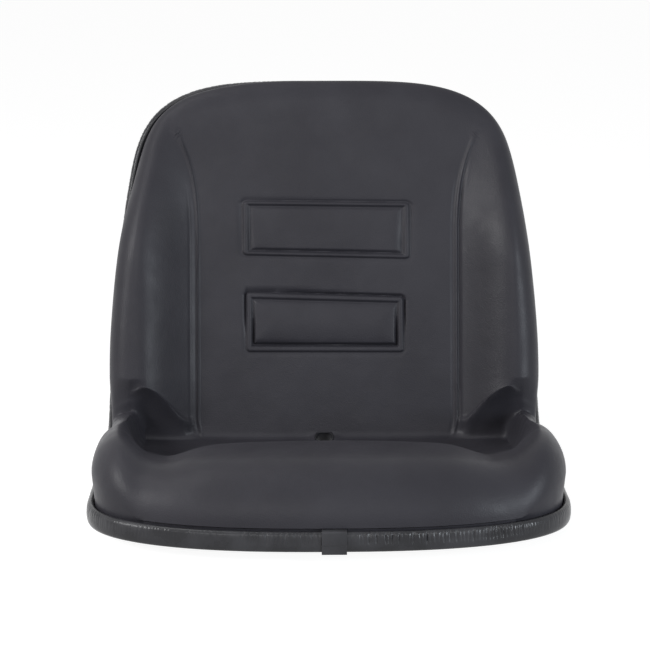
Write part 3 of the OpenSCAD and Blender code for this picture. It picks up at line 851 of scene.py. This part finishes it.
@dataclass
class Joiner:
    """The folded clip over the trim's two ends."""

    layout: Layout
    width: float = 24.0
    shift: float = 3.0
    wall: float = 1.2
    clear: float = 0.4
    inner: float = 3.8
    outer: float = 5.01
    return_to: float = 1.05
    inner_foot: float = -3.0
    step: float = 0.7
    step_at: float = -3.0

    def build(self) -> bpy.types.Object:
        """Returns the clip, with a step across its front."""
        seat = self.layout
        half = seat.trim_h / 2 + self.clear
        out, wall, inner, foot = self.outer, self.wall, -self.inner, self.inner_foot
        section = rounded([
            (self.return_to, -half), (self.return_to, -half - wall), (out + wall * 0.4, -half - wall),
            (out + wall - self.step, -half + 0.4), (out + wall - self.step, self.step_at),
            (out + wall, self.step_at + 0.8), (out + wall, half), (out, half + wall),
            (inner, half + wall), (inner - wall, half), (inner - wall, foot), (inner, foot),
            (inner, half), (out, half), (out, -half)], 0.3)
        side = self.width / 2
        ends = [(-side, -0.25), (-side + 0.3, 0.0), (side - 0.3, 0.0), (side, -0.25)]

        def place(i: int, j: int) -> Vector:
            """Returns the place of the section's point j at end line i."""
            along, shrink = ends[i]
            c, h = section[j % len(section)]
            grow = 1 + shrink / 12
            up = seat.sheet + seat.rim_height + h * grow
            return Vector((self.shift + along, -seat.front - c * grow, up)) * MM

        return finished("trim_clip", woven(len(ends), len(section) + 1, place), 35.0)


@dataclass
class Drain:
    """The moulded eyelet of the drain in the crease."""

    cushion: Cushion
    bore_r: ClassVar[float] = 9.0
    outer_r: ClassVar[float] = 10.5
    flange_r: ClassVar[float] = 14.0
    skin: ClassVar[float] = 1.4

    def build(self) -> bpy.types.Object:
        """Returns the eyelet: a tube through foam and pan, whose flange the skin laps over."""
        seat = self.cushion.layout
        top = self.cushion.drain_top
        foot = -seat.sheet - 1.5
        flange = top - self.skin - 0.3
        bore, outer, wide = self.bore_r, self.outer_r, self.flange_r
        profile = rounded([
            (bore, foot), (outer, foot), (outer, flange - 1.3), (wide, flange - 1.3),
            (wide, flange), (outer, flange), (outer, top + 0.3), (bore, top + 0.3)], 0.3)
        return finished("drain_ring", turned(profile + profile[:1], seat.on_pan(self.cushion.drain_s)), 40.0)


@dataclass
class Fixing:
    """The bolt pattern and its weld nuts."""

    bolt_x: ClassVar[float] = 200.0
    bolt_y: ClassVar[float] = 150.0
    bolt_r: ClassVar[float] = 4.25
    nut_flats: ClassVar[float] = 14.0
    nut_h: ClassVar[float] = 6.5

    @classmethod
    def places(cls) -> list[Pair]:
        """Returns x and y of each bolt."""
        return [(x * cls.bolt_x / 2, y * cls.bolt_y / 2) for x in (-1, 1) for y in (-1, 1)]

    @classmethod
    def add_rods(cls, bm: bmesh.types.BMesh, radius: float, length: float, middle: float,
                 sides: int) -> None:
        """Adds an upright cylinder at each bolt to a mesh.

        Args:
            bm: the mesh.
            radius: the cylinders' radius.
            length: their length.
            middle: the height of their middle.
            sides: how many sides each has.
        """
        for x, y in cls.places():
            spot = Matrix.Translation(Vector((x, y, middle)) * MM)
            bmesh.ops.create_cone(bm, cap_ends=True, segments=sides, radius1=radius * MM,
                                  radius2=radius * MM, depth=length * MM, matrix=spot)


@dataclass
class SeatPan:
    """The pressed steel pan: a floor, a step, a sloping border and a standing lip."""

    middle: ClassVar[float] = -99.0
    cushion: Cushion
    step: float = 7.0
    lip_top: float = 7.0
    lip_bend: float = 3.0
    edge_round: float = 0.4

    def profile(self) -> list[tuple[float, float, bool]]:
        """Goes over the sheet from the floor's middle to the lip and back under it.

        Returns:
            For each line its distance inside the rim, its height, and whether that is over the rim's middle
            rather than over the border. The distance called middle stands for the middle line.
        """
        seat = self.cushion.layout
        half, low = seat.sheet / 2, 2 - seat.trim_h / 2
        flat = [seat.dish_w + seat.step_w * share for share in (1, 0.75, 0.5, 0.25, 0)] + [58, 30, 14]
        inner = [(self.middle, 0.0, False)] + [(d, 0.0, False) for d in flat]
        inner += [(9.0, 0.1, False), (5.0, 0.9, False), (3.0, low + 0.2, True), (1.7, low + 1.2, True)]
        inner += [(half, low + self.lip_bend, True), (half, self.lip_top - self.edge_round, True),
                  (half - self.edge_round, self.lip_top, True)]
        outer = [(self.edge_round - half, self.lip_top, True), (-half, self.lip_top - self.edge_round, True),
                 (-half, low + self.lip_bend - seat.sheet, True), (0.3, low + 1.2 - seat.sheet, True),
                 (2.0, low + 0.2 - seat.sheet, True), (5.0, 0.3 - seat.sheet, False),
                 (9.0, -seat.sheet, False)]
        outer += [(d, -seat.sheet, False) for d in reversed(flat)] + [(self.middle, -seat.sheet, False)]
        return inner + outer

    def build(self) -> bpy.types.Object:
        """Returns the pan with its bolt holes and the drain's hole."""
        seat = self.cushion.layout
        stations = seat.rim(self.step, self.step)
        profile = self.profile()

        def place(i: int, j: int) -> Vector:
            """Returns the place of the profile's point j at station i."""
            u, v, s0 = stations[i % len(stations)]
            d, n, on_lip = profile[j]
            if d == self.middle:
                return seat.at(0, s0, n)
            x, s = seat.edge(u, v, s0, d)
            return seat.at(x, s, n + (seat.rim_n(s) if on_lip else seat.dish_n(s, d)))

        piece = finished("steel_pan", woven(len(stations) + 1, len(profile), place))
        hole = Drain.outer_r + self.cushion.gap
        cutter = turned([(0, -6), (hole, -6), (hole, 3), (0, 3)], seat.on_pan(self.cushion.drain_s))
        Fixing.add_rods(cutter, Fixing.bolt_r, 12.0, 0.0, 40)
        carve(piece, cutter)
        return piece


def rounded(corners: list[Pair], radius: float, segments: int = 2) -> list[Pair]:
    """Rounds the corners of a flat outline.

    Args:
        corners: the outline's corners, in order.
        radius: how far from a corner its round starts.
        segments: how many edges each round has.

    Returns:
        The rounded outline's points, in order.
    """
    bm = bmesh.new()
    bm.faces.new([bm.verts.new((a, b, 0)) for a, b in corners])
    bmesh.ops.bevel(bm, geom=bm.verts[:], offset=radius, segments=segments, profile=0.5, affect="VERTICES",
                    clamp_overlap=True, material=-1)
    widest = max(bm.faces, key=lambda f: len(f.verts))
    points = [(v.co.x, v.co.y) for v in widest.verts]
    bm.free()
    return points


def closed(bm: bmesh.types.BMesh) -> None:
    """Merges a mesh's coinciding points, caps its open ends and turns its faces outwards."""
    bmesh.ops.remove_doubles(bm, verts=bm.verts[:], dist=1e-6)
    bmesh.ops.dissolve_degenerate(bm, edges=bm.edges[:], dist=1e-7)
    bmesh.ops.holes_fill(bm, edges=[e for e in bm.edges if e.is_boundary], sides=0)
    bmesh.ops.recalc_face_normals(bm, faces=bm.faces[:])


def woven(rows: int, cols: int, place: Callable[[int, int], Vector]) -> bmesh.types.BMesh:
    """Makes a closed mesh from a grid whose borders meet, or are capped.

    Args:
        rows: how many lines of points it has.
        cols: how many points a line has.
        place: gives the place of the point in row i and column j.

    Returns:
        The mesh.
    """
    bm = bmesh.new()
    bmesh.ops.create_grid(bm, x_segments=cols - 1, y_segments=rows - 1, size=1.0)
    for vert in bm.verts:
        j = round((vert.co.x + 1) / 2 * (cols - 1))
        i = round((vert.co.y + 1) / 2 * (rows - 1))
        vert.co = place(i, j)
    closed(bm)
    return bm


def turned(profile: list[Pair], matrix: Matrix, steps: int = 48) -> bmesh.types.BMesh:
    """Spins a profile round the Z axis.

    Args:
        profile: radius and height of its points, in millimetres.
        matrix: where the spun form goes, in metres.
        steps: how many faces it has round.

    Returns:
        The mesh.
    """
    bm = bmesh.new()
    verts = [bm.verts.new((r * MM, 0, h * MM)) for r, h in profile]
    edges = [bm.edges.new(pair) for pair in zip(verts, verts[1:])]
    bmesh.ops.spin(bm, geom=verts + edges, cent=(0, 0, 0), axis=(0, 0, 1), angle=math.tau, steps=steps,
                   use_merge=True)
    bmesh.ops.transform(bm, matrix=matrix, verts=bm.verts[:])
    closed(bm)
    return bm


def carve(piece: bpy.types.Object, cutters: bmesh.types.BMesh) -> None:
    """Takes shapes out of a piece.

    Args:
        piece: the piece, whose mesh is replaced.
        cutters: the shapes, which are freed.
    """
    bmesh.ops.recalc_face_normals(cutters, faces=cutters.faces[:])
    tool = finished("cutter", cutters)
    change = piece.modifiers.new("carve", "BOOLEAN")
    change.operation = "DIFFERENCE"
    change.solver = "EXACT"
    change.object = tool
    whole = piece.evaluated_get(bpy.context.evaluated_depsgraph_get())
    mesh = bpy.data.meshes.new_from_object(whole)
    piece.modifiers.clear()
    piece.data = mesh
    clean = bmesh.new()
    clean.from_mesh(mesh)
    bmesh.ops.dissolve_degenerate(clean, edges=clean.edges[:], dist=SHORTEST)
    clean.to_mesh(mesh)
    clean.free()
    mesh.name = piece.name
    mesh.set_sharp_from_angle(angle=math.radians(SHARP))
    bpy.data.objects.remove(tool)


def finished(name: str, bm: bmesh.types.BMesh, crease: float = SHARP) -> bpy.types.Object:
    """Makes a shown piece of a bmesh, smooth but for its sharp edges.

    Args:
        name: the piece's name.
        bm: its mesh, which is freed.
        crease: the angle in degrees over which an edge stays sharp.

    Returns:
        The piece, at the origin.
    """
    mesh = bpy.data.meshes.new(name)
    bm.to_mesh(mesh)
    bm.free()
    mesh.polygons.foreach_set("use_smooth", [True] * len(mesh.polygons))
    mesh.set_sharp_from_angle(angle=math.radians(crease))
    piece = bpy.data.objects.new(name, mesh)
    bpy.context.scene.collection.objects.link(piece)
    return piece


def placed(piece: bpy.types.Object, node: str, material: bpy.types.Material) -> None:
    """Puts a piece in the frame in a CAD node's stead and gives it its finish."""
    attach(piece, BODY)
    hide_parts(node)
    piece.data.materials.clear()
    piece.data.materials.append(material)
    LOG.info("%s: %d faces", piece.name, len(piece.data.polygons))


class Signal:
    """An output socket of a node, with arithmetic that adds Math nodes."""

    def __init__(self, graph: "Graph", socket: bpy.types.NodeSocket | None) -> None:
        """Keeps the socket and the graph that it belongs to."""
        self.graph = graph
        self.socket = socket

    def math(self, operation: str, first: "Signal | float", second: "Signal | float") -> "Signal":
        """Returns the result of a Math node on two values."""
        return self.graph.node("ShaderNodeMath", {"operation": operation}, {0: first, 1: second})

    def __add__(self, other: "Signal | float") -> "Signal":
        """Returns the sum."""
        return self.math("ADD", self, other)

    def __radd__(self, other: float) -> "Signal":
        """Returns the sum with a number on the left."""
        return self.math("ADD", other, self)

    def __sub__(self, other: "Signal | float") -> "Signal":
        """Returns the difference."""
        return self.math("SUBTRACT", self, other)

    def __rsub__(self, other: float) -> "Signal":
        """Returns the difference from a number on the left."""
        return self.math("SUBTRACT", other, self)

    def __mul__(self, other: "Signal | float") -> "Signal":
        """Returns the product."""
        return self.math("MULTIPLY", self, other)

    def __rmul__(self, other: float) -> "Signal":
        """Returns the product with a number on the left."""
        return self.math("MULTIPLY", other, self)

    def span(self, low: float, high: float, start: float = 0.0, end: float = 1.0) -> "Signal":
        """Returns a soft step from start at low to end at high."""
        return self.graph.node("ShaderNodeMapRange", {"interpolation_type": "SMOOTHSTEP"}, {
            "Value": self, "From Min": low, "From Max": high, "To Min": start, "To Max": end})


class Graph:
    """The node tree of a material or a world."""

    def __init__(self, owner: bpy.types.Material | bpy.types.World) -> None:
        """Starts with an empty tree."""
        self.owner = owner
        owner.use_nodes = True
        self.tree = owner.node_tree
        self.tree.nodes.clear()

    @classmethod
    def named(cls, name: str) -> "Graph":
        """Returns the graph of a new material."""
        return cls(bpy.data.materials.new(name))

    def node(self, kind: str, settings: dict | None = None, inputs: dict | None = None,
             output: int | str = 0) -> Signal:
        """Adds a node.

        Args:
            kind: the node's type.
            settings: its settings, set before its sockets.
            inputs: values or signals for its sockets, by name or number.
            output: the socket that is given back.

        Returns:
            The signal of that socket, where the node has one.
        """
        made = self.tree.nodes.new(kind)
        for key, value in (settings or {}).items():
            setattr(made, key, value)
        for key, value in (inputs or {}).items():
            if isinstance(value, Signal):
                self.tree.links.new(value.socket, made.inputs[key])
            elif isinstance(value, tuple) and len(value) == 3 and made.inputs[key].type == "RGBA":
                made.inputs[key].default_value = (*value, 1)
            else:
                made.inputs[key].default_value = value
        return Signal(self, made.outputs[output] if made.outputs else None)

    def place(self) -> Signal:
        """Returns the object's own coordinates."""
        return self.node("ShaderNodeTexCoord", output="Object")

    def noise(self, scale: float, detail: float = 2.0) -> Signal:
        """Returns soft noise of a scale in waves per metre."""
        inputs = {"Vector": self.place(), "Scale": scale, "Detail": detail}
        return self.node("ShaderNodeTexNoise", None, inputs)

    def blend(self, share: "Signal | float", low: Colour, high: Colour) -> Signal:
        """Returns a colour between low and high."""
        inputs = {"Factor": share, 6: low, 7: high}
        return self.node("ShaderNodeMix", {"data_type": "RGBA"}, inputs, output=2)

    def relief(self, height: Signal, distance: float, strength: float = 0.6) -> Signal:
        """Returns a normal that follows a height, which counts distance metres at 1."""
        inputs = {"Strength": strength, "Distance": distance, "Height": height}
        return self.node("ShaderNodeBump", None, inputs)

    def seen(self) -> Signal:
        """Returns 1 for what the camera sees, also by reflection and through glass."""
        value, *others = (
            self.node("ShaderNodeLightPath", output=ray)
            for ray in ("Is Camera Ray", "Is Glossy Ray", "Is Transmission Ray"))
        for other in others:
            value = value.math("MAXIMUM", value, other)
        return value

    def finish(self, shader: Signal, kind: str = "Material") -> bpy.types.Material | bpy.types.World:
        """Joins a shader to the output, a Material's or a World's, and returns the tree's owner."""
        self.node("ShaderNodeOutput" + kind, None, {"Surface": shader})
        return self.owner

    def coat(self, inputs: dict) -> bpy.types.Material:
        """Gives the material a Principled shader with these inputs and returns it."""
        return self.finish(self.node("ShaderNodeBsdfPrincipled", None, inputs))


@dataclass(frozen=True)
class VinylFinish:
    """Moulded black vinyl with a fine leather grain."""

    dark: Colour = (0.029, 0.028, 0.034)
    light: Colour = (0.036, 0.035, 0.042)
    roughness: float = 0.43
    roughness_spread: float = 0.10
    gloss: float = 0.18
    grain_scale: float = 720.0
    grain_height: float = 0.00016
    pore_scale: float = 1900.0
    dimple_scale: float = 62.0
    dimple_height: float = 0.0007

    def material(self) -> bpy.types.Material:
        """Returns the vinyl's material."""
        g = Graph.named("black_vinyl")
        colour = g.blend(g.noise(14.0, 4.0).span(0.3, 0.7), self.dark, self.light)
        where = {"Vector": g.place(), "Scale": self.grain_scale}
        cells = g.node("ShaderNodeTexVoronoi", {"feature": "F1"}, where)
        grain = g.relief(cells + g.noise(self.pore_scale, 2.0) * 0.5, self.grain_height)
        dimples = g.node("ShaderNodeBump", None, {
            "Strength": 0.5, "Distance": self.dimple_height, "Height": g.noise(self.dimple_scale, 2.0),
            "Normal": grain})
        spread = self.roughness_spread / 2
        rough = g.noise(38.0, 5.0).span(0.25, 0.75, self.roughness - spread, self.roughness + spread)
        return g.coat({
            "Base Color": colour, "Roughness": rough, "Normal": dimples, "Specular IOR Level": self.gloss})


@dataclass(frozen=True)
class PlasticFinish:
    """Black plastic with a faint texture and scuffs."""

    name: str
    dark: Colour = (0.022, 0.022, 0.025)
    light: Colour = (0.042, 0.042, 0.047)
    roughness: float = 0.5
    gloss: float = 0.28
    speck_scale: float = 900.0
    speck_height: float = 0.00012
    scuff_scale: float = 26.0

    def material(self) -> bpy.types.Material:
        """Returns the plastic's material."""
        g = Graph.named(self.name)
        scuffs = g.noise(self.scuff_scale, 6.0).span(0.42, 0.7)
        rough = self.roughness + (scuffs - 0.5) * 0.12
        normal = g.relief(g.noise(self.speck_scale, 3.0), self.speck_height)
        return g.coat({
            "Base Color": g.blend(scuffs, self.dark, self.light), "Roughness": rough, "Normal": normal,
            "Specular IOR Level": self.gloss})


@dataclass(frozen=True)
class PaintFinish:
    """Black stoving paint on pressed steel."""

    dark: Colour = (0.022, 0.022, 0.024)
    light: Colour = (0.034, 0.034, 0.036)
    roughness: float = 0.32
    peel_scale: float = 420.0
    peel_height: float = 0.0001
    coat: float = 0.25
    coat_roughness: float = 0.2

    def material(self) -> bpy.types.Material:
        """Returns the paint's material."""
        g = Graph.named("black_paint")
        dust = g.noise(18.0, 5.0).span(0.45, 0.75)
        rough = dust * 0.2 + self.roughness
        return g.coat({
            "Base Color": g.blend(dust, self.dark, self.light), "Roughness": rough,
            "Normal": g.relief(g.noise(self.peel_scale, 2.0), self.peel_height),
            "Coat Weight": self.coat, "Coat Roughness": self.coat_roughness})


@dataclass(frozen=True)
class ZincFinish:
    """Zinc plate, a little uneven."""

    dull: Colour = (0.42, 0.42, 0.41)
    bright: Colour = (0.62, 0.62, 0.60)
    roughness: float = 0.30
    pit_scale: float = 800.0
    pit_height: float = 0.00008

    def material(self) -> bpy.types.Material:
        """Returns the plate's material."""
        g = Graph.named("zinc_plate")
        spots = g.noise(240.0, 4.0).span(0.35, 0.7)
        return g.coat({
            "Base Color": g.blend(spots, self.dull, self.bright), "Metallic": 1.0,
            "Roughness": self.roughness + spots * 0.18,
            "Normal": g.relief(g.noise(self.pit_scale, 2.0), self.pit_height)})


@dataclass
class Studio:
    """Camera, lamps, floor and background."""

    eye: tuple[float, float, float] = (-0.0427, -2.4452, 0.7248)
    aim: tuple[float, float, float] = (-0.0017, -0.0057, 0.1781)
    lens: float = 133.9
    sensor: float = 36.0
    ambient: float = 0.19
    floor_drop: float = 0.0003
    floor_half: float = 14.0
    floor_colour: float = 0.32
    floor_glow: float = 0.91

    def camera(self) -> None:
        """Sets the camera at the photograph's angle."""
        data = bpy.data.cameras.new("view")
        data.lens = self.lens
        data.sensor_width = self.sensor
        eye = bpy.data.objects.new("view", data)
        eye.location = self.eye
        eye.rotation_euler = (Vector(self.aim) - Vector(self.eye)).to_track_quat("-Z", "Y").to_euler()
        bpy.context.scene.collection.objects.link(eye)
        bpy.context.scene.camera = eye

    def lamp(self, name: str, place: Colour, size: Pair, watts: float,
             tint: Colour = (1.0, 1.0, 1.0)) -> None:
        """Adds a soft box that looks at the seat.

        Args:
            name: the lamp's name.
            place: where it stands.
            size: its width and height.
            watts: its power.
            tint: its colour.
        """
        data = bpy.data.lights.new(name, "AREA")
        data.shape = "RECTANGLE"
        data.size, data.size_y = size
        data.energy = watts
        data.color = tint
        lamp = bpy.data.objects.new(name, data)
        lamp.location = place
        lamp.rotation_euler = (Vector((0, 0, 0.2)) - Vector(place)).to_track_quat("-Z", "Y").to_euler()
        bpy.context.scene.collection.objects.link(lamp)

    def lamps(self) -> None:
        """Adds the lamps."""
        self.lamp("front_box", (-0.5, -2.5, 1.2), (1.6, 1.0), 14)
        self.lamp("left_box", (-2.0, -0.9, 1.2), (0.4, 1.0), 34)
        self.lamp("right_box", (2.0, -1.5, 0.6), (0.4, 0.9), 32, (0.86, 0.93, 1.0))
        self.lamp("top_box", (-0.9, -0.3, 2.1), (0.9, 0.8), 7)

    def surroundings(self) -> None:
        """Adds the floor and the background, both near white to the camera."""
        bm = bmesh.new()
        below = Matrix.Translation((0, 0, -self.floor_drop))
        bmesh.ops.create_grid(bm, x_segments=8, y_segments=8, size=self.floor_half, matrix=below)
        floor = finished("floor", bm)
        g = Graph.named("pale_floor")
        plain = g.node("ShaderNodeBsdfDiffuse", None, {"Color": (self.floor_colour,) * 3})
        glow = g.node("ShaderNodeEmission", None, {"Color": (1, 1, 1), "Strength": self.floor_glow})
        white = g.node("ShaderNodeAddShader", None, {0: plain, 1: glow})
        blend = g.node("ShaderNodeMixShader", None, {"Fac": g.seen(), 1: plain, 2: white})
        floor.data.materials.append(g.finish(blend))
        g = Graph(bpy.data.worlds.new("studio"))
        dim, bright = (
            g.node("ShaderNodeBackground", None, {"Color": (1, 1, 1), "Strength": strength})
            for strength in (self.ambient, 1.0))
        blend = g.node("ShaderNodeMixShader", None, {"Fac": g.seen(), 1: dim, 2: bright})
        bpy.context.scene.world = g.finish(blend, "World")


def main() -> None:
    logging.basicConfig(level=logging.INFO, format="%(name)s: %(message)s")
    bpy.context.scene.view_settings.view_transform = "Standard"
    studio = Studio()
    studio.camera()
    studio.lamps()
    studio.surroundings()
    seat = Layout()
    cushion = Cushion(seat)
    foam = cushion.build()
    placed(foam, "cushion", VinylFinish().material())
    skin = PlasticFinish("trim_plastic", roughness=0.31)
    placed(Trim(seat).build(), "edge_trim", skin.material())
    clip = PlasticFinish("clip_plastic", roughness=0.4)
    placed(Joiner(seat).build(), "trim_joiner", clip.material())
    placed(SeatPan(cushion).build(), "seat_pan", PaintFinish().material())
    ring = PlasticFinish("eyelet_plastic", roughness=0.5, gloss=0.1)
    placed(Drain(cushion).build(), "drain_eyelet", ring.material())
    zinc = ZincFinish().material()
    for nut in bpy.data.objects:
        if nut.name.startswith("weld_nuts"):
            for slot in nut.material_slots:
                slot.material = zinc


if __name__ == "__main__":
    main()
